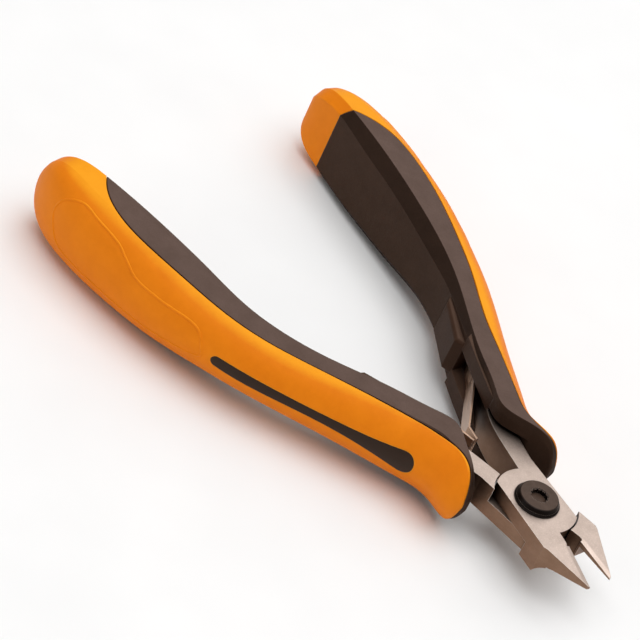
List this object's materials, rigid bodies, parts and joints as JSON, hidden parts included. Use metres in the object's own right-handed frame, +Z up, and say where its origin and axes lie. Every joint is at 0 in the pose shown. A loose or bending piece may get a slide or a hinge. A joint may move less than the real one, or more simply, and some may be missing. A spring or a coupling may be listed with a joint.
{
  "type": "diagonal cutting pliers",
  "caption": "Small side cutter with lapped steel jaws on a low-head pivot screw, paired leaf springs and long curved two-tone grips.",
  "frame": {"origin": "bottom centre of the whole object's box, with the pliers lying flat and open", "axes": "+X from the handles towards the jaw tips along the line midway between the handles, +Z up along the pivot axis, towards the head of the pivot screw"},
  "size_m": [0.1422, 0.0962, 0.0208],
  "materials": {
    "tool_steel": "satin ground",
    "black_steel": "black oxide",
    "spring_steel": "bright strip",
    "housing_plastic": "moulded",
    "soft_dark": "fine grain",
    "orange_plastic": "satin moulded",
    "inlay_dark": "smooth"
  },
  "bodies": {
    "upper_side": {"upper_half": "tool_steel", "pivot_washer": "black_steel", "grip_core_right": "soft_dark", "grip_shell_right": "orange_plastic", "grip_inlay_right": "inlay_dark", "spring_housing_right": "housing_plastic"},
    "lower_side": {"lower_half": "tool_steel", "pivot_screw": "black_steel", "grip_core_left": "soft_dark", "grip_shell_left": "orange_plastic", "grip_inlay_left": "inlay_dark", "spring_housing_left": "housing_plastic"},
    "leaf_right": {"leaf_spring_right": "spring_steel"},
    "leaf_left": {"leaf_spring_left": "spring_steel"}
  },
  "joints": [
    {"name": "jaw_hinge", "type": "hinge", "parent": "upper_side", "child": "lower_side", "pos_m": [0.0492, 0, 0.01042], "axis": [0, 0, 1], "range_deg": [-16, 0], "stiffness_Nm_per_rad": 1, "springref_deg": 5.73},
    {"name": "leaf_right_bend", "type": "hinge", "parent": "upper_side", "child": "leaf_right", "pos_m": [0.0086, 0.019, 0.01042], "axis": [0, 0, 1], "range_deg": [0, 7]},
    {"name": "leaf_left_bend", "type": "hinge", "parent": "lower_side", "child": "leaf_left", "pos_m": [0.0086, -0.019, 0.01042], "axis": [0, 0, 1], "range_deg": [-7, 0]}
  ],
  "couplings": [
    {"joint": "leaf_right_bend", "follows": "jaw_hinge", "ratio": -0.42},
    {"joint": "leaf_left_bend", "follows": "jaw_hinge", "ratio": 0.42}
  ]
}
